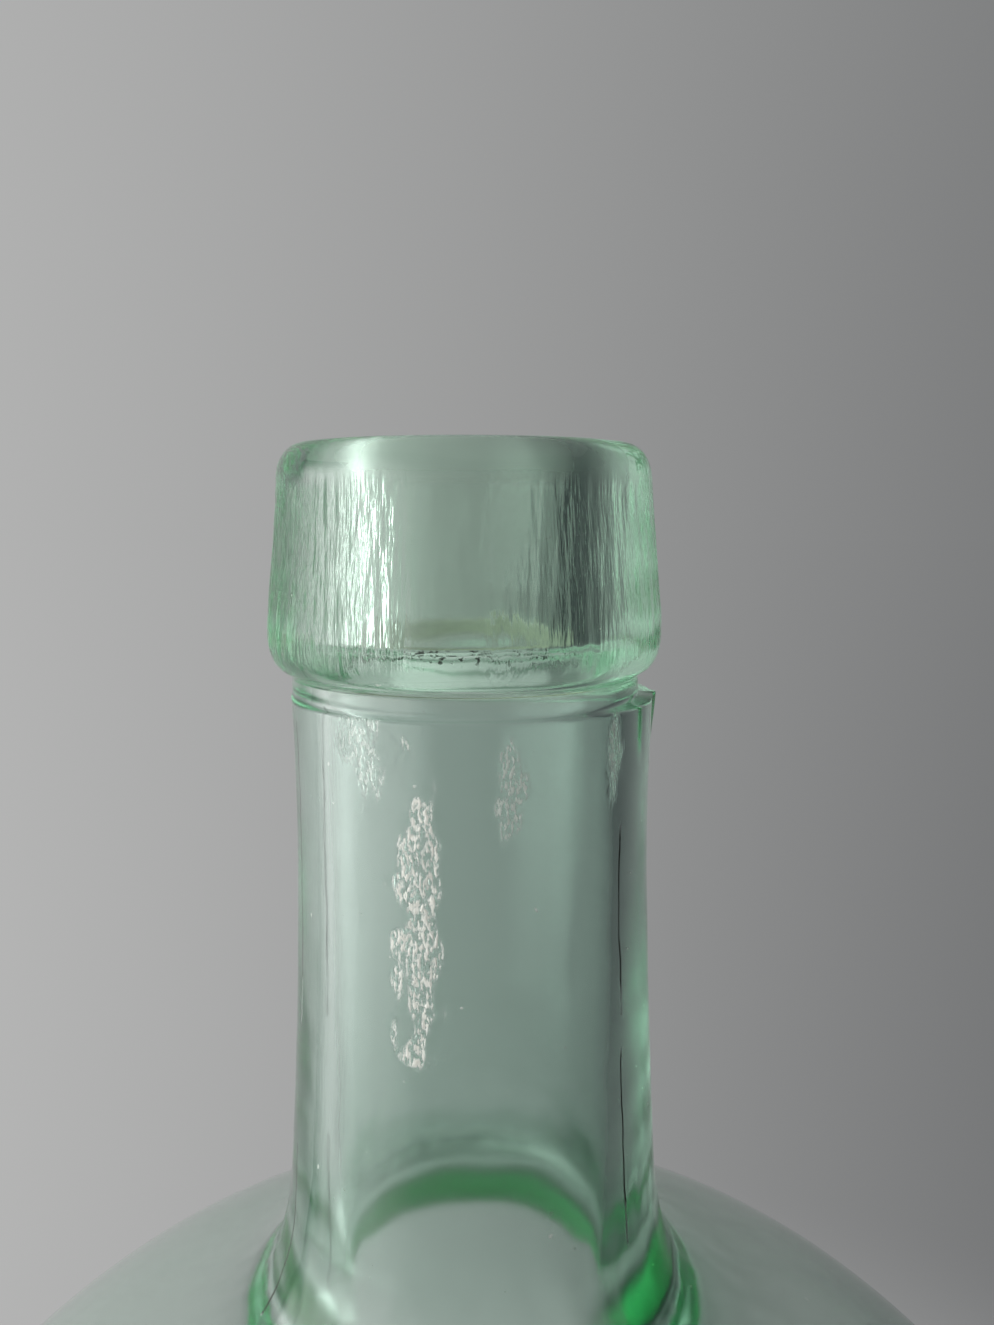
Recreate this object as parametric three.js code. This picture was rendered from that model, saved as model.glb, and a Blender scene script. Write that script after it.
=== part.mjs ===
// A round glass demijohn of about five litres. The vessel is blown in one piece, from the pushed-up
// base to the cut end of the neck, and a heavy lip of its own glass is set on that end.
// Millimetres, +Z up, with the origin on the ground at the middle of the foot.
import * as THREE from 'three';

// Body: a ball above the equator, drawn in below it to a flat foot ring round a pushed-up base
const BODY_RADIUS = 110;
const EQUATOR_HEIGHT = 112;
const WALL = 3;
const FOOT_RADIUS = 70;
const FOOT_WIDTH = 16;
const PUNT_HEIGHT = 14;
const BASE_THICKNESS = 7;

// Neck: it flares out of the shoulder, narrows to a waist and widens a little to the seat of the lip
const SHOULDER_RADIUS = 40;
const FLARE_HEIGHT = 26.5;
const NECK_LENGTH = 60;
const NECK_RADIUS = 23.3;
const NECK_SPREAD = 1.1;
const WAIST_PULL = 0.9;

// Bore: narrow through the lip, wider below a ledge through the neck, and opening into the body's
// cavity round a thick root of glass
const MOUTH_RADIUS = 13.6;
const LEDGE_HEIGHT = 7;
const BORE_RADIUS = 18.6;
const CAVITY_RADIUS = 31;

// Lip: a groove over the seat, a round belly, a side that draws in upwards and a flat rounded top
const LIP_HEIGHT = 31.6;
const LIP_SHIFT = -0.9;
const LIP_OVERHANG = 1.85;
const LIP_TAPER = 1.4;
const BELLY_HEIGHT = 7.5;
const GROOVE_DEPTH = 1;
const GROOVE_HEIGHT = 3.2;
const CORNER_WIDTH = 3.15;
const CORNER_HEIGHT = 4.6;
const MOUTH_ROUND = 3;

// Shape of the free curves: their handles as shares of the span, and the slope where flare meets neck
const FLARE_SWEEP = 0.71;
const ROOT_SWEEP = 1.4;
const CAVITY_SWEEP = 0.5;
const NECK_SWEEP = 0.34;
const LIP_SWEEP = 0.3;
const NECK_SLOPE = 0.048;

// Steps round the axis, and along each curve of the profiles
const SIDES = 48;
const OUTER_STEPS = 6;
const INNER_STEPS = 4;

const QUARTER_TURN = Math.PI / 2;

// Where a ball centred on the equator has a smaller radius about the vertical axis
function shoulderOf(ballRadius, radius) {
  const rise = Math.sqrt(ballRadius ** 2 - radius ** 2);
  return {
    angle: Math.atan2(rise, radius),
    height: EQUATOR_HEIGHT + rise,
    slope: radius / rise,
  };
}

const outerShoulder = shoulderOf(BODY_RADIUS, SHOULDER_RADIUS);
const cavityTop = shoulderOf(BODY_RADIUS - WALL, CAVITY_RADIUS);
const neckFootRadius = NECK_RADIUS + NECK_SPREAD;
const neckFootHeight = outerShoulder.height + FLARE_HEIGHT;
const seatHeight = neckFootHeight + NECK_LENGTH;
const puntRadius = FOOT_RADIUS - FOOT_WIDTH;

function glass(color, roughness) {
  return new THREE.MeshStandardMaterial({ color, roughness, metalness: 0 });
}

// Turns a profile, drawn as radius and height, about the vertical axis
function turned(name, profile, material) {
  const geometry = new THREE.LatheGeometry(profile, SIDES);
  geometry.rotateX(QUARTER_TURN);
  const mesh = new THREE.Mesh(geometry, material);
  mesh.name = name;
  return mesh;
}

// Outside of the vessel, from the middle of the pushed-up base to the outer edge of the seat
function vesselOutside() {
  const flareReach = FLARE_SWEEP * (SHOULDER_RADIUS - neckFootRadius);
  const flareDrop = FLARE_SWEEP * FLARE_HEIGHT;
  const neckReach = NECK_SWEEP * NECK_LENGTH;
  const path = new THREE.Path();
  path.absellipse(0, 0, puntRadius, PUNT_HEIGHT, QUARTER_TURN, 0, true);
  path.lineTo(FOOT_RADIUS, 0);
  path.absellipse(FOOT_RADIUS, EQUATOR_HEIGHT, BODY_RADIUS - FOOT_RADIUS, EQUATOR_HEIGHT, -QUARTER_TURN, 0, false);
  path.absarc(0, EQUATOR_HEIGHT, BODY_RADIUS, 0, outerShoulder.angle, false);
  path.bezierCurveTo(
    SHOULDER_RADIUS - flareReach, outerShoulder.height + flareReach * outerShoulder.slope,
    neckFootRadius + flareDrop * NECK_SLOPE, neckFootHeight - flareDrop,
    neckFootRadius, neckFootHeight,
  );
  path.bezierCurveTo(
    neckFootRadius - neckReach * NECK_SLOPE, neckFootHeight + neckReach,
    NECK_RADIUS - WAIST_PULL, seatHeight - neckReach,
    NECK_RADIUS, seatHeight,
  );
  return path.getPoints(OUTER_STEPS);
}

// Inside of the vessel, from the bore's edge on the seat down to the middle of the floor
function vesselInside() {
  const innerRadius = BODY_RADIUS - WALL;
  const floorRadius = FOOT_RADIUS - WALL;
  const cavityReach = CAVITY_SWEEP * (CAVITY_RADIUS - BORE_RADIUS);
  const rootDrop = ROOT_SWEEP * (neckFootHeight - cavityTop.height);
  const heelHeight = EQUATOR_HEIGHT - BASE_THICKNESS;
  const path = new THREE.Path();
  path.moveTo(BORE_RADIUS, seatHeight);
  path.lineTo(BORE_RADIUS, neckFootHeight);
  path.bezierCurveTo(
    BORE_RADIUS, neckFootHeight - rootDrop,
    CAVITY_RADIUS - cavityReach, cavityTop.height + cavityReach * cavityTop.slope,
    CAVITY_RADIUS, cavityTop.height,
  );
  path.absarc(0, EQUATOR_HEIGHT, innerRadius, cavityTop.angle, 0, true);
  path.absellipse(floorRadius, EQUATOR_HEIGHT, innerRadius - floorRadius, heelHeight, 0, -QUARTER_TURN, true);
  path.lineTo(puntRadius, BASE_THICKNESS);
  path.absellipse(0, BASE_THICKNESS, puntRadius, PUNT_HEIGHT, 0, QUARTER_TURN, false);
  return path.getPoints(INNER_STEPS);
}

// Half section of the lip, with its own foot at height zero and the ledge over the neck's bore
function lipSection() {
  const grooveRadius = NECK_RADIUS - GROOVE_DEPTH;
  const bellyRadius = NECK_RADIUS + LIP_OVERHANG;
  const topRadius = bellyRadius - LIP_TAPER;
  const rimRadius = topRadius - CORNER_WIDTH;
  const cornerFoot = LIP_HEIGHT - CORNER_HEIGHT;
  const sideReach = LIP_SWEEP * (cornerFoot - BELLY_HEIGHT);
  const path = new THREE.Path();
  path.moveTo(BORE_RADIUS, 0);
  path.lineTo(grooveRadius, 0);
  path.absellipse(
    grooveRadius, BELLY_HEIGHT,
    bellyRadius - grooveRadius, BELLY_HEIGHT - GROOVE_HEIGHT,
    -QUARTER_TURN, 0, false,
  );
  path.bezierCurveTo(
    bellyRadius, BELLY_HEIGHT + sideReach,
    topRadius, cornerFoot - sideReach,
    topRadius, cornerFoot,
  );
  path.absellipse(rimRadius, cornerFoot, CORNER_WIDTH, CORNER_HEIGHT, 0, QUARTER_TURN, false);
  path.absarc(
    MOUTH_RADIUS + MOUTH_ROUND, LIP_HEIGHT - MOUTH_ROUND, MOUTH_ROUND,
    QUARTER_TURN, 2 * QUARTER_TURN, false,
  );
  path.lineTo(MOUTH_RADIUS, LEDGE_HEIGHT);
  path.absellipse(MOUTH_RADIUS, 0, BORE_RADIUS - MOUTH_RADIUS, LEDGE_HEIGHT, QUARTER_TURN, 0, true);
  return path.getPoints(INNER_STEPS);
}

const vessel = turned('vessel', [...vesselOutside(), ...vesselInside()], glass(0xb4cdbf, 0.08));

const lip = turned('lip', lipSection(), glass(0xa9c7b5, 0.14));
lip.position.set(LIP_SHIFT, 0, seatHeight);

const demijohn = new THREE.Group();
demijohn.add(vessel, lip);

export default demijohn;
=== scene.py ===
import math
from collections import namedtuple

import bpy
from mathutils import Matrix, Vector, noise


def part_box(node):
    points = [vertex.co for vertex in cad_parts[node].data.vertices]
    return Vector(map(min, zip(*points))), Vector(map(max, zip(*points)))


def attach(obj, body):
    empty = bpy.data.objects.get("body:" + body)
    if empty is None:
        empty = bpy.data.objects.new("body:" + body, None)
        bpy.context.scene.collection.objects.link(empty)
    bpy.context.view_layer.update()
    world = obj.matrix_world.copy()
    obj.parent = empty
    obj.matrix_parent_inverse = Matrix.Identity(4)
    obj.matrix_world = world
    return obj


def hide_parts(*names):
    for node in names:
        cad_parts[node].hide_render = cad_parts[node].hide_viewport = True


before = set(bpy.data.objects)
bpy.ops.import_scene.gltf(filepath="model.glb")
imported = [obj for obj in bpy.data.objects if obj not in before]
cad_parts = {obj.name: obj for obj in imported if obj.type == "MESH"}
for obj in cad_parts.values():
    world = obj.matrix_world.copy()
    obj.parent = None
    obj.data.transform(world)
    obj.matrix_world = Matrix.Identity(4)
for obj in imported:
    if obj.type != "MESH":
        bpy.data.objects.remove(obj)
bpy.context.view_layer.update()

MM = 0.001
QUARTER_TURN = math.pi / 2

# Sizes that the frame gives
_, VESSEL_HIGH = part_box("vessel")
LIP_LOW, LIP_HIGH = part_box("lip")
BODY_RADIUS = VESSEL_HIGH.x
SEAT_HEIGHT = LIP_LOW.z
RIM_HEIGHT = LIP_HIGH.z
LIP_SHIFT = (LIP_LOW.x + LIP_HIGH.x) / 2
BELLY_RADIUS = (LIP_HIGH.x - LIP_LOW.x) / 2

# Body
EQUATOR_HEIGHT = 112 * MM
WALL = 3 * MM
FOOT_RADIUS = 70 * MM
PUNT_RADIUS = 54 * MM
PUNT_HEIGHT = 14 * MM
BASE_THICKNESS = 7 * MM

# Neck
SHOULDER_RADIUS = 40 * MM
NECK_RADIUS = 23.3 * MM
NECK_FOOT_RADIUS = 24.4 * MM
NECK_LENGTH = 60 * MM
NECK_FOOT_HEIGHT = SEAT_HEIGHT - NECK_LENGTH
WAIST_PULL = 0.9 * MM
NECK_SLOPE = 0.048
FLARE_SWEEP = 0.71
NECK_SWEEP = 0.34

# Bore
MOUTH_RADIUS = 13.6 * MM
LEDGE_RISE = 7 * MM
LEDGE_HEIGHT = SEAT_HEIGHT + LEDGE_RISE
LEDGE_ROUND = 1.2 * MM
BORE_RADIUS = 18.6 * MM
CAVITY_RADIUS = 31 * MM
ROOT_SWEEP = 1.4
CAVITY_SWEEP = 0.5

# Lip
GROOVE_RADIUS = 22.3 * MM
GROOVE_HEIGHT = 3.2 * MM
BELLY_HEIGHT = 7.5 * MM
LIP_TOP_RADIUS = 23.75 * MM
CORNER_WIDTH = 3.15 * MM
CORNER_HEIGHT = 4.6 * MM
MOUTH_ROUND = 3 * MM
LIP_SWEEP = 0.3

# Points round each ring of the glass, which crowd towards the front
FINE, MIDDLE, COARSE = 400, 200, 100
CROWDING = 0.55

# Steps along each curve of the half sections
PUNT_STEPS, FOOT_STEPS, SIDE_STEPS, BALL_STEPS = 16, 4, 30, 30
FLARE_STEPS, NECK_STEPS = 28, 110
GROOVE_STEPS, BELLY_STEPS, LIP_STEPS, CORNER_STEPS, RIM_STEPS = 4, 10, 40, 12, 10
MOUTH_STEPS, LEDGE_ROUND_STEPS, LEDGE_STEPS = 24, 8, 12
BORE_STEPS, ROOT_STEPS = 30, 30
CAVITY_STEPS, HEEL_STEPS, FLOOR_STEPS, RISE_STEPS = 28, 22, 3, 12

# Points of a half section that lie closer than this are one
SAME_PLACE = 0.001 * MM


def smooth(low, high, value):
    share = min(max((value - low) / (high - low), 0.0), 1.0)
    return share * share * (3 - 2 * share)


def plateau(rise, fall, value):
    """One between two spans, with a smooth rise over the first and a smooth fall over the second."""
    return smooth(*rise, value) * (1 - smooth(*fall, value))


def ellipse(centre, radii, start, end, steps):
    points = []
    for i in range(steps + 1):
        angle = start + (end - start) * i / steps
        points.append((centre[0] + radii[0] * math.cos(angle), centre[1] + radii[1] * math.sin(angle)))
    return points


def bezier(a, b, c, d, steps):
    points = []
    for i in range(steps + 1):
        t = i / steps
        s = 1 - t
        weights = (s ** 3, 3 * s * s * t, 3 * s * t * t, t ** 3)
        points.append(tuple(sum(w * p[k] for w, p in zip(weights, (a, b, c, d))) for k in (0, 1)))
    return points


def straight(a, b, steps):
    shares = [i / steps for i in range(steps + 1)]
    return [(a[0] + (b[0] - a[0]) * share, a[1] + (b[1] - a[1]) * share) for share in shares]


def shoulder_of(ball, radius):
    """Where a ball centred on the equator has a radius: its turn, height and slope there."""
    turn = math.acos(radius / ball)
    return turn, EQUATOR_HEIGHT + ball * math.sin(turn), 1 / math.tan(turn)


def vessel_outside():
    """Half section of the vessel's outside, from the middle of the base up to the seat."""
    angle, height, slope = shoulder_of(BODY_RADIUS, SHOULDER_RADIUS)
    reach = FLARE_SWEEP * (SHOULDER_RADIUS - NECK_FOOT_RADIUS)
    drop = FLARE_SWEEP * (NECK_FOOT_HEIGHT - height)
    rise = NECK_SWEEP * NECK_LENGTH
    side = (BODY_RADIUS - FOOT_RADIUS, EQUATOR_HEIGHT)
    yield "base", COARSE, ellipse((0, 0), (PUNT_RADIUS, PUNT_HEIGHT), QUARTER_TURN, 0, PUNT_STEPS)
    yield "base", COARSE, straight((PUNT_RADIUS, 0), (FOOT_RADIUS, 0), FOOT_STEPS)
    yield "body", COARSE, ellipse((FOOT_RADIUS, EQUATOR_HEIGHT), side, -QUARTER_TURN, 0, SIDE_STEPS)
    yield "body", MIDDLE, ellipse((0, EQUATOR_HEIGHT), (BODY_RADIUS, BODY_RADIUS), 0, angle, BALL_STEPS)
    yield "body", MIDDLE, bezier(
        (SHOULDER_RADIUS, height), (SHOULDER_RADIUS - reach, height + reach * slope),
        (NECK_FOOT_RADIUS + drop * NECK_SLOPE, NECK_FOOT_HEIGHT - drop),
        (NECK_FOOT_RADIUS, NECK_FOOT_HEIGHT), FLARE_STEPS)
    yield "neck", MIDDLE, bezier(
        (NECK_FOOT_RADIUS, NECK_FOOT_HEIGHT),
        (NECK_FOOT_RADIUS - rise * NECK_SLOPE, NECK_FOOT_HEIGHT + rise),
        (NECK_RADIUS - WAIST_PULL, SEAT_HEIGHT - rise), (NECK_RADIUS, SEAT_HEIGHT), NECK_STEPS)


def lip_outside():
    """Half section of the lip, from the groove over the seat round the rim into the mouth."""
    groove_top = SEAT_HEIGHT + GROOVE_HEIGHT
    belly = SEAT_HEIGHT + BELLY_HEIGHT
    belly_radii = (BELLY_RADIUS - GROOVE_RADIUS, BELLY_HEIGHT - GROOVE_HEIGHT)
    corner_foot = RIM_HEIGHT - CORNER_HEIGHT
    corner = (LIP_TOP_RADIUS - CORNER_WIDTH, corner_foot)
    side = LIP_SWEEP * (corner_foot - belly)
    rim = (MOUTH_RADIUS + MOUTH_ROUND, RIM_HEIGHT - MOUTH_ROUND)
    yield "lip", FINE, straight((GROOVE_RADIUS, SEAT_HEIGHT), (GROOVE_RADIUS, groove_top), GROOVE_STEPS)
    yield "lip", FINE, ellipse((GROOVE_RADIUS, belly), belly_radii, -QUARTER_TURN, 0, BELLY_STEPS)
    yield "lip", FINE, bezier(
        (BELLY_RADIUS, belly), (BELLY_RADIUS, belly + side), (LIP_TOP_RADIUS, corner_foot - side),
        (LIP_TOP_RADIUS, corner_foot), LIP_STEPS)
    yield "lip", FINE, ellipse(corner, (CORNER_WIDTH, CORNER_HEIGHT), 0, QUARTER_TURN, CORNER_STEPS)
    yield "mouth", MIDDLE, ellipse(
        rim, (MOUTH_ROUND, MOUTH_ROUND), QUARTER_TURN, 2 * QUARTER_TURN, RIM_STEPS)


def glass_inside():
    """Half section of the bore and the cavity, from the mouth down to the middle of the floor."""
    ledge_reach = BORE_RADIUS - MOUTH_RADIUS
    ledge_turn = math.acos(LEDGE_ROUND / ledge_reach)
    ledge_edge = (MOUTH_RADIUS + LEDGE_ROUND, SEAT_HEIGHT + LEDGE_RISE * math.sin(ledge_turn))
    mouth_top = (MOUTH_RADIUS, RIM_HEIGHT - MOUTH_ROUND)
    mouth_foot = (MOUTH_RADIUS, LEDGE_HEIGHT + LEDGE_ROUND)
    corner = (MOUTH_RADIUS, LEDGE_HEIGHT)
    yield "mouth", MIDDLE, straight(mouth_top, mouth_foot, MOUTH_STEPS)
    yield "mouth", MIDDLE, bezier(mouth_foot, corner, corner, ledge_edge, LEDGE_ROUND_STEPS)
    yield "mouth", MIDDLE, ellipse(
        (MOUTH_RADIUS, SEAT_HEIGHT), (ledge_reach, LEDGE_RISE), ledge_turn, 0, LEDGE_STEPS)

    inner = BODY_RADIUS - WALL
    floor = FOOT_RADIUS - WALL
    heel = (inner - floor, EQUATOR_HEIGHT - BASE_THICKNESS)
    angle, height, slope = shoulder_of(inner, CAVITY_RADIUS)
    reach = CAVITY_SWEEP * (CAVITY_RADIUS - BORE_RADIUS)
    drop = ROOT_SWEEP * (NECK_FOOT_HEIGHT - height)
    yield "bore", MIDDLE, straight((BORE_RADIUS, SEAT_HEIGHT), (BORE_RADIUS, NECK_FOOT_HEIGHT), BORE_STEPS)
    yield "bore", MIDDLE, bezier(
        (BORE_RADIUS, NECK_FOOT_HEIGHT), (BORE_RADIUS, NECK_FOOT_HEIGHT - drop),
        (CAVITY_RADIUS - reach, height + reach * slope), (CAVITY_RADIUS, height), ROOT_STEPS)
    yield "inside", COARSE, ellipse((0, EQUATOR_HEIGHT), (inner, inner), angle, 0, CAVITY_STEPS)
    yield "inside", COARSE, ellipse((floor, EQUATOR_HEIGHT), heel, 0, -QUARTER_TURN, HEEL_STEPS)
    yield "inside", COARSE, straight((floor, BASE_THICKNESS), (PUNT_RADIUS, BASE_THICKNESS), FLOOR_STEPS)
    yield "inside", COARSE, ellipse(
        (0, BASE_THICKNESS), (PUNT_RADIUS, PUNT_HEIGHT), 0, QUARTER_TURN, RISE_STEPS)


# Rough patches on the neck, with their places in degrees round from the front and in height
Patch = namedtuple("Patch", "degrees height half_width half_height strength")
ROUGH_PATCHES = (
    Patch(degrees=-15, height=277 * MM, half_width=9, half_height=20 * MM, strength=1),
    Patch(degrees=-32, height=297 * MM, half_width=10, half_height=7 * MM, strength=0.55),
    Patch(degrees=12, height=293 * MM, half_width=7, half_height=8 * MM, strength=0.65),
    Patch(degrees=47, height=296 * MM, half_width=4, half_height=6 * MM, strength=0.6),
)
PATCH_EDGE = (0.5, 1.0)
RAGGED_DEPTH = 0.7
RAGGED_PER_TURN = 14
RAGGED_HEIGHT = 4 * MM

# Fin of the mould's seam at the top of the neck's right side
FIN_DEGREES = 90
FIN_WIDTH = 1.2 * MM
FIN_HEIGHT = 0.85 * MM
FIN_LENGTH = 10 * MM

# Upright streaks and even ripples in the surface
Streak = namedtuple("Streak", "depth width length")
Ripple = namedtuple("Ripple", "depth length")
PATCH_STREAK = Streak(depth=0.3 * MM, width=1.2 * MM, length=2.4 * MM)
FLARE_STREAK = Streak(depth=0.22 * MM, width=3 * MM, length=9 * MM)
LIP_STREAKS = (
    Streak(depth=0.18 * MM, width=1.1 * MM, length=8 * MM),
    Streak(depth=0.05 * MM, width=0.6 * MM, length=3 * MM),
)
LIP_RIPPLE = Ripple(depth=0.12 * MM, length=6 * MM)
VESSEL_RIPPLES = (
    Ripple(depth=0.1 * MM, length=14 * MM),
    Ripple(depth=0.03 * MM, length=5 * MM),
)

# Where the flare was drawn out, in height
DRAWN_RISE = (EQUATOR_HEIGHT + 90 * MM, EQUATOR_HEIGHT + 105 * MM)
DRAWN_FALL = (NECK_FOOT_HEIGHT - 10 * MM, NECK_FOOT_HEIGHT)

# Where the lip was tooled, as shares of its height, and where it is calmer, in degrees
TOOLED_RISE = (0.12, 0.25)
TOOLED_FALL = (0.78, 0.9)
PLAIN_RISE = (-15, -10)
PLAIN_FALL = (4, 9)
PLAIN_CALM = 0.9
RIGHT_RISE = (5, 20)
RIGHT_CALM = 0.5

# Strength of the tool's finest lines on the lip and, in degrees, on the neck's left side
LIP_LINES = 0.5
NECK_LINES = 0.04
NECK_LINES_RISE = (-80, -60)
NECK_LINES_FALL = (-35, -20)

# Surfaces that stay dull inside, where no tool or hand has polished them
INNER_ZONES = ("mouth", "bore", "inside")


def ripple(place, wave):
    return wave.depth * noise.noise(place / wave.length)


def streak(place, wave):
    """Upright ripples, narrow round the axis and long in height."""
    return wave.depth * noise.noise(
        Vector((place.x / wave.width, place.y / wave.width, place.z / wave.length)))


def within(turn, height, patch):
    """One inside a patch of the surface, fading to nothing at its ragged edge."""
    across = (math.degrees(turn) - patch.degrees) / patch.half_width
    up = (height - patch.height) / patch.half_height
    ragged = RAGGED_DEPTH * noise.noise(Vector((turn * RAGGED_PER_TURN, 0, height / RAGGED_HEIGHT)))
    return 1 - smooth(*PATCH_EDGE, math.hypot(across, up) + ragged)


def neck_roughness(turn, height):
    return max(patch.strength * within(turn, height, patch) for patch in ROUGH_PATCHES)


def neck_swell(turn, radius, place):
    across = abs(turn - math.radians(FIN_DEGREES)) * radius
    fin = max(0.0, 1 - across / FIN_WIDTH) * smooth(SEAT_HEIGHT - FIN_LENGTH, SEAT_HEIGHT, place.z)
    return neck_roughness(turn, place.z) * streak(place, PATCH_STREAK) + FIN_HEIGHT * fin


def lip_roughness(turn, height):
    """How strong the marks of the tool are: none on the rim, few in a plain patch at the front."""
    up = (height - SEAT_HEIGHT) / (RIM_HEIGHT - SEAT_HEIGHT)
    degrees = math.degrees(turn)
    plain = PLAIN_CALM * plateau(PLAIN_RISE, PLAIN_FALL, degrees)
    right = RIGHT_CALM * smooth(*RIGHT_RISE, degrees)
    return plateau(TOOLED_RISE, TOOLED_FALL, up) * (1 - plain) * (1 - right)


def lip_swell(turn, place):
    marks = sum(streak(place, wave) for wave in LIP_STREAKS)
    return lip_roughness(turn, place.z) * marks + ripple(place, LIP_RIPPLE)


def surface_swell(zone, turn, radius, height):
    """How far the glass stands out from its true turned shape at a place."""
    place = Vector((math.sin(turn) * radius, -math.cos(turn) * radius, height))
    if zone == "lip":
        return lip_swell(turn, place)
    swell = sum(ripple(place, wave) for wave in VESSEL_RIPPLES)
    if zone == "neck":
        swell += neck_swell(turn, radius, place)
    if zone == "body":
        swell += plateau(DRAWN_RISE, DRAWN_FALL, height) * streak(place, FLARE_STREAK)
    return swell


def surface_roughness(zone, turn, height):
    """How strong the finest crinkles are, from nothing to one."""
    if zone == "neck":
        return neck_roughness(turn, height)
    return 0.0


def surface_tooling(zone, turn, height):
    """How strong the finest lines of the tool are, from nothing to one."""
    if zone == "lip":
        return LIP_LINES * lip_roughness(turn, height)
    if zone == "neck":
        return NECK_LINES * plateau(NECK_LINES_RISE, NECK_LINES_FALL, math.degrees(turn))
    return 0.0


def lip_shift(zone, height):
    """The lip sits a little to one side, and inside it leans back to the neck's bore."""
    if zone == "lip":
        return LIP_SHIFT
    if zone == "mouth":
        return LIP_SHIFT * smooth(SEAT_HEIGHT, LEDGE_HEIGHT, height)
    return 0.0


def glass_point(zone, turn, radius, height):
    """Where a point of the turned shape lies, with the swell of the glass and the lip's shift."""
    if radius < SAME_PLACE:
        return 0, 0, height
    wide = radius + surface_swell(zone, turn, radius, height)
    return wide * math.sin(turn) + lip_shift(zone, height), -wide * math.cos(turn), height


def section_rings():
    """Every ring of the glass in order: its zone, number of points, radius and height."""
    last = None
    for zone, count, points in (*vessel_outside(), *lip_outside(), *glass_inside()):
        for radius, height in points:
            if last and math.dist(last, (radius, height)) < SAME_PLACE:
                continue
            last = (radius, height)
            yield zone, 1 if radius < SAME_PLACE else count, radius, height


def turns_round(count):
    """Turns of the points round a ring, from the back over the front to the back."""
    for i in range(count):
        share = 2 * math.pi * i / count - math.pi
        yield share - CROWDING * math.sin(share)


def bridge(faces, low, high):
    """Joins two rings of points, where one may hold a whole number of times the other's points."""
    count = max(len(low), len(high))
    low_step, high_step = count // len(low), count // len(high)
    for i in range(count):
        corners = []
        for ring, step, spots in ((low, low_step, (i, i + 1)), (high, high_step, (i + 1, i))):
            for spot in spots:
                corner = ring[(spot // step) % len(ring)]
                if corner not in corners:
                    corners.append(corner)
        if len(corners) > 2:
            faces.append(corners)


def build_glass():
    vertices, faces, rings = [], [], []
    marks = {"inner": [], "rough": [], "tooled": []}
    for zone, count, radius, height in section_rings():
        rings.append(range(len(vertices), len(vertices) + count))
        for turn in turns_round(count):
            vertices.append(glass_point(zone, turn, radius, height))
            marks["inner"].append(float(zone in INNER_ZONES))
            marks["rough"].append(surface_roughness(zone, turn, height))
            marks["tooled"].append(surface_tooling(zone, turn, height))
    for low, high in zip(rings, rings[1:]):
        bridge(faces, low, high)
    mesh = bpy.data.meshes.new("demijohn_glass")
    mesh.from_pydata(vertices, [], faces)
    for name, values in marks.items():
        mesh.attributes.new(name, "FLOAT", "POINT").data.foreach_set("value", values)
    mesh.validate()
    mesh.update()
    mesh.polygons.foreach_set("use_smooth", [True] * len(mesh.polygons))
    piece = bpy.data.objects.new("demijohn_glass", mesh)
    bpy.context.collection.objects.link(piece)
    return piece


# How far upright noise is drawn out along the vertical axis
UPRIGHT_SQUEEZE = 0.4


class Shading:
    """The emptied node tree of a material or a world, with short ways to add to it."""

    def __init__(self, owner):
        owner.use_nodes = True
        self.nodes = owner.node_tree.nodes
        self.links = owner.node_tree.links
        self.nodes.clear()

    def feed(self, socket, value):
        if isinstance(value, bpy.types.NodeSocket):
            self.links.new(value, socket)
        else:
            socket.default_value = value

    def add(self, kind, inputs, operation=None):
        node = self.nodes.new("ShaderNode" + kind)
        if operation:
            node.operation = operation
        for name, value in inputs.items():
            self.feed(node.inputs[name], value)
        return node

    def number(self, operation, *values):
        return self.add("Math", dict(enumerate(values)), operation).outputs["Value"]

    def vector(self, operation, *values):
        return self.add("VectorMath", dict(enumerate(values)), operation).outputs["Vector"]

    def measure(self, operation, *values):
        return self.add("VectorMath", dict(enumerate(values)), operation).outputs["Value"]

    def product(self, first, *others):
        for other in others:
            first = self.number("MULTIPLY", first, other)
        return first

    def fade(self, value, low, high, start=0.0, end=1.0):
        """A smooth change from a start to an end, as a value goes from low to high."""
        inputs = {"Value": value, "From Min": low, "From Max": high, "To Min": start, "To Max": end}
        node = self.add("MapRange", inputs)
        node.interpolation_type = "SMOOTHSTEP"
        return node.outputs["Result"]

    def mix(self, factor, first, second):
        node = self.nodes.new("ShaderNodeMix")
        node.data_type = "RGBA"
        for place, value in ((0, factor), (6, first), (7, second)):
            self.feed(node.inputs[place], value)
        return node.outputs[2]

    def grain(self, spot, scale, detail=2):
        inputs = {"Vector": spot, "Scale": scale, "Detail": detail}
        return self.add("TexNoise", inputs).outputs["Fac"]

    def upright_grain(self, spot, scale, detail=2, squeeze=UPRIGHT_SQUEEZE):
        return self.grain(self.vector("MULTIPLY", spot, (1, 1, squeeze)), scale, detail)

    def spot(self):
        return self.add("NewGeometry", {}).outputs["Position"]

    def axes(self, spot):
        outputs = self.add("SeparateXYZ", {"Vector": spot}).outputs
        return outputs["X"], outputs["Y"], outputs["Z"]

    def mesh_value(self, name):
        attribute = self.nodes.new("ShaderNodeAttribute")
        attribute.attribute_name = name
        return attribute.outputs["Fac"]


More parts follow.
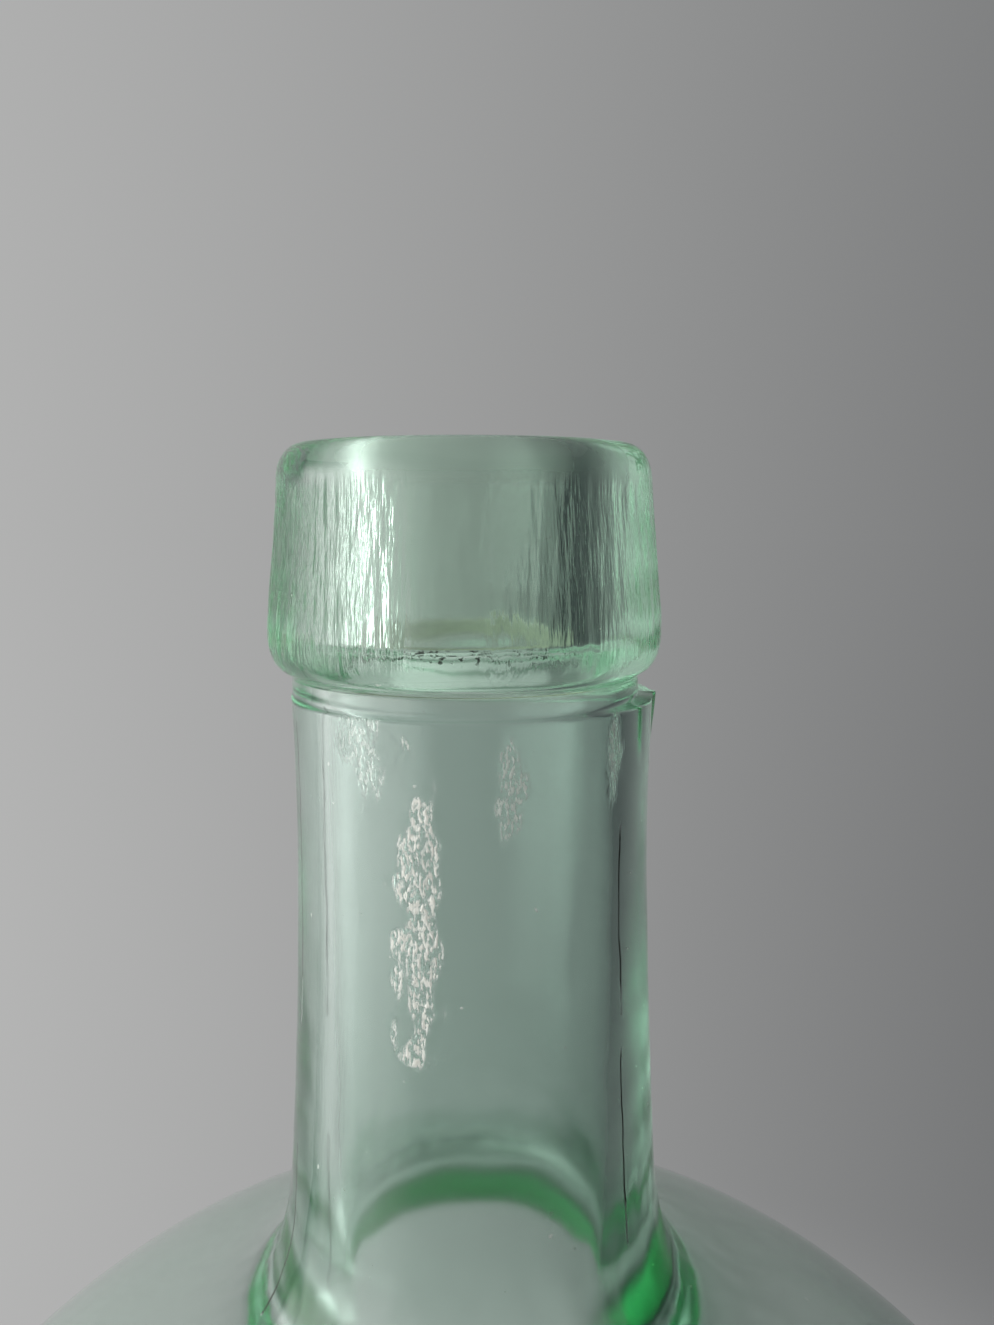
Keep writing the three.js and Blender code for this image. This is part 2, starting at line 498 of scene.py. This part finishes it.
# Tints of the glass from the body up, with a deep green painted shade at the right of the neck's root,
# darkening the side away from the light
BODY_TINT = (0.945, 0.99, 0.965, 1)
NECK_TINT = (0.81, 0.91, 0.865, 1)
ROOT_SHADE = (0.2, 0.36, 0.27, 1)
LIP_TINT = (0.846, 0.917, 0.868, 1)
NECK_TINT_RISE = (NECK_FOOT_HEIGHT - 29 * MM, NECK_FOOT_HEIGHT - 6 * MM)
ROOT_SHADE_RISE = (NECK_FOOT_HEIGHT - 32 * MM, NECK_FOOT_HEIGHT - 18 * MM)
ROOT_SHADE_FALL = (NECK_FOOT_HEIGHT - 14 * MM, NECK_FOOT_HEIGHT)
ROOT_SHADE_RIGHT = (10 * MM, 24 * MM)
LIP_TINT_RISE = (SEAT_HEIGHT, SEAT_HEIGHT + GROOVE_HEIGHT)

# How the glass bends light and takes up its colour
GLASS_IOR = 1.5
DEPTH_TINT = (0.2, 0.87, 0.5, 1)
DEPTH_DENSITY = 10

# How dull the glass is outside, with dust round the neck's foot, and inside
POLISHED = 0.03
DUSTY = 0.16
DUSTY_RISE = (NECK_FOOT_HEIGHT - 42 * MM, NECK_FOOT_HEIGHT - 28 * MM)
DUSTY_FALL = (NECK_FOOT_HEIGHT - 16 * MM, NECK_FOOT_HEIGHT)
NECK_SHARE = 0.2
DULL_INSIDE = 0.14
DULL_RIM = 0.35
DULL_RIM_RISE = (RIM_HEIGHT - 7 * MM, RIM_HEIGHT - 2 * MM)

# Crinkles in the rough patches and lines of the tool, with their grain in cells to the metre
CRINKLE_GRAIN = 2600
CRINKLE_DETAIL = 4
CRINKLE_DEPTH = 0.5 * MM
LINE_GRAIN = 2200
LINE_SQUEEZE = 0.1
LINE_DEPTH = 0.4 * MM

# Pale painted glints on the crests of the rough patches, standing in for the window's reflection in their
# crinkles, and specks of dust
GLINT_AND_DUST = (0.9, 0.88, 0.8, 1)
GLINT_CRESTS = (0.4, 0.6)
GLINT_PATCHES = (0.25, 0.9)
GLINT_STRENGTH = 0.85
DUST_GRAIN = 700
DUST_CRESTS = (0.74, 0.78)
DUST_STRENGTH = 0.5

# Dark specks along the front of the ledge under the mouth
# The dark colour also serves the painted shade of the lines down the neck's sides
GRIME_AND_SHADE = (0.03, 0.035, 0.025, 1)
GRIME_GRAIN = 1700
GRIME_CRESTS = (0.56, 0.62)
GRIME_RISE = (LEDGE_HEIGHT - 1.2 * MM, LEDGE_HEIGHT - 0.4 * MM)
GRIME_FALL = (LEDGE_HEIGHT + 0.2 * MM, LEDGE_HEIGHT + 0.6 * MM)
GRIME_FRONT = (-9 * MM, -11 * MM)
GRIME_EDGE = (BORE_RADIUS - 1 * MM, BORE_RADIUS)

# A painted highlight along the back of the ledge: a pale yellow-green colour standing in for the light
# that its rounded edge catches
LEDGE_HIGHLIGHT = (0.97, 1.0, 0.72, 1)
LEDGE_HIGHLIGHT_STRENGTH = 0.75
LEDGE_HIGHLIGHT_RISE = (LEDGE_HEIGHT - 3 * MM, LEDGE_HEIGHT - 1.2 * MM)
LEDGE_HIGHLIGHT_FALL = (LEDGE_HEIGHT + 0.2 * MM, LEDGE_HEIGHT + 0.8 * MM)
LEDGE_HIGHLIGHT_BACK = (-2 * MM, 2 * MM)

# Painted shade: thin broken dark lines down the neck and its flare towards their left and right sides,
# standing in for the dark lines along the neck's outline, in degrees round from the front
EDGE_SHADE_DEGREES = (53, -66)
EDGE_SHADE_WIDTH = 0.3 * MM
EDGE_SHADE_WOBBLE = 0.06
EDGE_SHADE_WOBBLE_GRAIN = 300
EDGE_SHADE_BREAK_GRAIN = 150
EDGE_SHADE_BREAK_CRESTS = (0.4, 0.48)
EDGE_SHADE_RISE = (NECK_FOOT_HEIGHT - 38 * MM, NECK_FOOT_HEIGHT - 28 * MM)
EDGE_SHADE_FALL = (SEAT_HEIGHT - 2 * MM, SEAT_HEIGHT)
INNER_EDGE = (0, 0.5)


def glass_tint_and_shade(shading, spot):
    across, _, height = shading.axes(spot)
    # Painted shade: a deep green darkens the right of the neck's root
    root = shading.product(
        shading.fade(across, *ROOT_SHADE_RIGHT), shading.fade(height, *ROOT_SHADE_RISE),
        shading.fade(height, *ROOT_SHADE_FALL, 1, 0))
    tint = shading.mix(shading.fade(height, *NECK_TINT_RISE), BODY_TINT, NECK_TINT)
    tint = shading.mix(root, tint, ROOT_SHADE)
    return shading.mix(shading.fade(height, *LIP_TINT_RISE), tint, LIP_TINT)


def glint_and_dust_mask(shading, spot, crinkles):
    """Painted glints lie on the crests of the rough patches, standing in for the window's reflection
    there, and a few specks of dust lie everywhere.
    """
    patches = shading.fade(shading.mesh_value("rough"), *GLINT_PATCHES, 0, GLINT_STRENGTH)
    painted_glints = shading.product(shading.fade(crinkles, *GLINT_CRESTS), patches)
    dust = shading.fade(shading.grain(spot, DUST_GRAIN), *DUST_CRESTS, 0, DUST_STRENGTH)
    return shading.number("MAXIMUM", painted_glints, dust)


def grime_mask(shading, spot):
    _, depth, height = shading.axes(spot)
    radius = shading.measure("LENGTH", shading.vector("MULTIPLY", spot, (1, 1, 0)))
    return shading.product(
        shading.fade(shading.grain(spot, GRIME_GRAIN), *GRIME_CRESTS),
        shading.fade(height, *GRIME_RISE), shading.fade(height, *GRIME_FALL, 1, 0),
        shading.fade(depth, *GRIME_FRONT), shading.fade(radius, *GRIME_EDGE, 1, 0))


# Painted highlight: a pale yellow-green colour on the back of the ledge inside the glass
def ledge_highlight_mask(shading, spot):
    _, depth, height = shading.axes(spot)
    return shading.product(
        shading.fade(height, *LEDGE_HIGHLIGHT_RISE), shading.fade(height, *LEDGE_HIGHLIGHT_FALL, LEDGE_HIGHLIGHT_STRENGTH, 0),
        shading.fade(depth, *LEDGE_HIGHLIGHT_BACK), shading.mesh_value("inner"))


def edge_shade_mask(shading, spot):
    """Painted shade: dark lines that run down the outside of the neck and its flare, standing in for the
    dark lines along the neck's outline.
    """
    across, depth, height = shading.axes(spot)
    turn = shading.number("ARCTAN2", across, shading.number("MULTIPLY", depth, -1))
    wobble = shading.upright_grain(spot, EDGE_SHADE_WOBBLE_GRAIN)
    wavy_turn = shading.number("MULTIPLY_ADD", wobble, EDGE_SHADE_WOBBLE, turn)
    half_width = EDGE_SHADE_WIDTH / NECK_RADIUS / 2
    lines = 0
    for degrees in EDGE_SHADE_DEGREES:
        line = shading.number("COMPARE", wavy_turn, math.radians(degrees), half_width)
        lines = shading.number("ADD", line, lines)
    return shading.product(
        lines, shading.fade(shading.mesh_value("inner"), *INNER_EDGE, 1, 0),
        shading.fade(height, *EDGE_SHADE_FALL, 1, 0), shading.fade(height, *EDGE_SHADE_RISE),
        shading.fade(shading.upright_grain(spot, EDGE_SHADE_BREAK_GRAIN), *EDGE_SHADE_BREAK_CRESTS))


def dullness(shading, spot):
    """Polished outside, dusty round the neck's foot, dull inside and dullest inside the rim."""
    _, _, height = shading.axes(spot)
    inside = shading.product(
        shading.mesh_value("inner"), shading.fade(height, *DULL_RIM_RISE, DULL_INSIDE, DULL_RIM))
    outside = shading.product(
        shading.fade(height, *DUSTY_RISE, POLISHED, DUSTY),
        shading.fade(height, *DUSTY_FALL, 1, NECK_SHARE))
    return shading.number("MAXIMUM", inside, outside)


def fine_marks(shading, spot, crinkles):
    """Marks finer than the mesh: crinkles in the rough patches and upright lines of the tool."""
    rough = shading.add("Bump", {
        "Distance": CRINKLE_DEPTH, "Strength": shading.mesh_value("rough"), "Height": crinkles})
    lines = shading.upright_grain(spot, LINE_GRAIN, squeeze=LINE_SQUEEZE)
    tooled = shading.add("Bump", {
        "Distance": LINE_DEPTH, "Strength": shading.mesh_value("tooled"), "Height": lines,
        "Normal": rough.outputs["Normal"]})
    return tooled.outputs["Normal"]


def glass_material():
    material = bpy.data.materials.new("demijohn_glass")
    shading = Shading(material)
    spot = shading.spot()
    crinkles = shading.upright_grain(spot, CRINKLE_GRAIN, CRINKLE_DETAIL)
    # Grime and dust, with painted highlights on the ledge and the rough patches and painted shade in lines
    # down the neck's sides
    dirt_and_painted_light = (
        (ledge_highlight_mask(shading, spot), LEDGE_HIGHLIGHT),
        (glint_and_dust_mask(shading, spot, crinkles), GLINT_AND_DUST),
        (grime_mask(shading, spot), GRIME_AND_SHADE),
        (edge_shade_mask(shading, spot), GRIME_AND_SHADE),
    )
    color = glass_tint_and_shade(shading, spot)
    opaque = 0
    for mask, mark_color in dirt_and_painted_light:
        color = shading.mix(mask, color, mark_color)
        opaque = shading.number("MAXIMUM", opaque, mask)
    surface = shading.add("BsdfPrincipled", {
        "Base Color": color, "Transmission Weight": shading.fade(opaque, 0, 1, 1, 0),
        "Roughness": dullness(shading, spot), "Normal": fine_marks(shading, spot, crinkles),
        "IOR": GLASS_IOR})
    depth = shading.add("VolumeAbsorption", {"Color": DEPTH_TINT, "Density": DEPTH_DENSITY})
    shading.add("OutputMaterial", {
        "Surface": surface.outputs["BSDF"], "Volume": depth.outputs["Volume"]})
    return material


# Surroundings: a grey room that is lighter on the left and lightest at the left front
LEFT_GREY = (0.62, 0.62, 0.615, 1)
RIGHT_GREY = (0.025, 0.03, 0.035, 1)
GLOW_SIDE = (-0.87, -0.5, 0)
GLOW_EDGE = (0.75, 1)
GLOW = 4.5
ROOM_MIDDLE = (0, 0, 0.3)

# A pale floor that fades into the room
FLOOR_GREY = (0.82, 0.82, 0.82, 1)
FLOOR_HALF = 12.0
FLOOR_GAP = 0.5 * MM
FLOOR_FADE = (0.13, 0.4)

# An upright card of light on the left, which fades towards its top, its foot and the back
WINDOW_LEFT = -0.34
WINDOW_NEAR, WINDOW_FAR = -0.095, 0.14
WINDOW_FOOT, WINDOW_TOP = 0.005, 0.48
WINDOW_RADIANCE = 3.8
WINDOW_TOP_FADE = (0.36, WINDOW_TOP)
WINDOW_FOOT_FADE = (-0.05, 0.3)
WINDOW_FOOT_SHARE = 0.15
WINDOW_BACK_FADE = (0.03, WINDOW_FAR)
WINDOW_BACK_SHARE = 0.1

# A broad weak light overhead
OVERHEAD = Vector((0.2, -0.2, 2.0))
OVERHEAD_AIM = Vector((0, 0, 0.2))
OVERHEAD_SIZE = 3.0
OVERHEAD_RADIANCE = 0.26


def grey_room(shading, direction):
    """The room's colour by direction, from its left side to its right side."""
    across, _, _ = shading.axes(direction)
    rightwards = shading.add("MapRange", {"Value": across, "From Min": -1, "From Max": 1})
    color = shading.mix(rightwards.outputs["Result"], LEFT_GREY, RIGHT_GREY)
    facing = shading.measure("DOT_PRODUCT", direction, GLOW_SIDE)
    glow = shading.fade(facing, *GLOW_EDGE, 1, GLOW)
    return shading.add("VectorMath", {0: color, "Scale": glow}, "SCALE").outputs["Vector"]


def make_world():
    world = bpy.data.worlds.new("studio")
    bpy.context.scene.world = world
    shading = Shading(world)
    direction = shading.add("TexCoord", {}).outputs["Generated"]
    room = shading.add("Background", {"Color": grey_room(shading, direction)})
    shading.add("OutputWorld", {"Surface": room.outputs["Background"]})


def make_sheet(name, corners):
    """A flat sheet, and the shading of its own material."""
    mesh = bpy.data.meshes.new(name)
    mesh.from_pydata(corners, [], [tuple(range(len(corners)))])
    sheet = bpy.data.objects.new(name, mesh)
    bpy.context.collection.objects.link(sheet)
    material = bpy.data.materials.new(name)
    mesh.materials.append(material)
    return sheet, Shading(material)


def make_floor():
    half = FLOOR_HALF
    floor, shading = make_sheet(
        "floor", [(-half, -half, 0), (half, -half, 0), (half, half, 0), (-half, half, 0)])
    floor.location.z = -FLOOR_GAP
    spot = shading.spot()
    sight = shading.vector("NORMALIZE", shading.vector("SUBTRACT", spot, ROOM_MIDDLE))
    near = shading.add("BsdfDiffuse", {"Color": FLOOR_GREY})
    far = shading.add("Emission", {"Color": grey_room(shading, sight)})
    distance = shading.fade(shading.measure("LENGTH", spot), *FLOOR_FADE)
    both = shading.add("MixShader", {
        0: distance, 1: near.outputs["BSDF"], 2: far.outputs["Emission"]})
    shading.add("OutputMaterial", {"Surface": both.outputs["Shader"]})


def make_window():
    card, shading = make_sheet("window", [
        (WINDOW_LEFT, WINDOW_NEAR, WINDOW_FOOT), (WINDOW_LEFT, WINDOW_FAR, WINDOW_FOOT),
        (WINDOW_LEFT, WINDOW_FAR, WINDOW_TOP), (WINDOW_LEFT, WINDOW_NEAR, WINDOW_TOP)])
    card.visible_camera = False
    card.visible_shadow = False
    _, depth, height = shading.axes(shading.spot())
    strength = shading.product(
        shading.fade(height, *WINDOW_TOP_FADE, WINDOW_RADIANCE, 0),
        shading.fade(height, *WINDOW_FOOT_FADE, WINDOW_FOOT_SHARE, 1),
        shading.fade(depth, *WINDOW_BACK_FADE, 1, WINDOW_BACK_SHARE))
    light = shading.add("Emission", {"Strength": strength})
    shading.add("OutputMaterial", {"Surface": light.outputs["Emission"]})


def make_overhead():
    data = bpy.data.lights.new("overhead", "AREA")
    data.shape = "RECTANGLE"
    data.size = OVERHEAD_SIZE
    data.size_y = OVERHEAD_SIZE
    data.energy = OVERHEAD_RADIANCE * math.pi * OVERHEAD_SIZE ** 2
    lamp = bpy.data.objects.new("overhead", data)
    lamp.location = OVERHEAD
    lamp.rotation_euler = (OVERHEAD_AIM - OVERHEAD).to_track_quat("-Z", "Y").to_euler()
    lamp.visible_camera = False
    bpy.context.collection.objects.link(lamp)


# Camera: the photograph's frame, in its own pixels
FRAME_HEIGHT = 1325
FOCAL_PIXELS = 1150
EYE_LEVEL_ROW = 510
EYE = Vector((3.2, -148.4, 324.4)) * MM
NEAREST_SEEN = 1 * MM


def make_camera():
    data = bpy.data.cameras.new("camera")
    data.lens = data.sensor_width * FOCAL_PIXELS / FRAME_HEIGHT
    data.clip_start = NEAREST_SEEN
    camera = bpy.data.objects.new("camera", data)
    pitch = math.atan2(FRAME_HEIGHT / 2 - EYE_LEVEL_ROW, FOCAL_PIXELS)
    camera.location = EYE
    camera.rotation_euler = (QUARTER_TURN - pitch, 0, 0)
    bpy.context.collection.objects.link(camera)
    bpy.context.scene.camera = camera


# Bounces that light needs to get through the walls of the glass
GLASS_BOUNCES = 40

glass = build_glass()
glass.data.materials.append(glass_material())
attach(glass, "root")
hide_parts("vessel", "lip")

make_world()
make_floor()
make_window()
make_overhead()
make_camera()
bpy.context.scene.view_settings.view_transform = "Standard"
bpy.context.scene.cycles.max_bounces = GLASS_BOUNCES
bpy.context.scene.cycles.transmission_bounces = GLASS_BOUNCES
bpy.context.scene.cycles.glossy_bounces = GLASS_BOUNCES
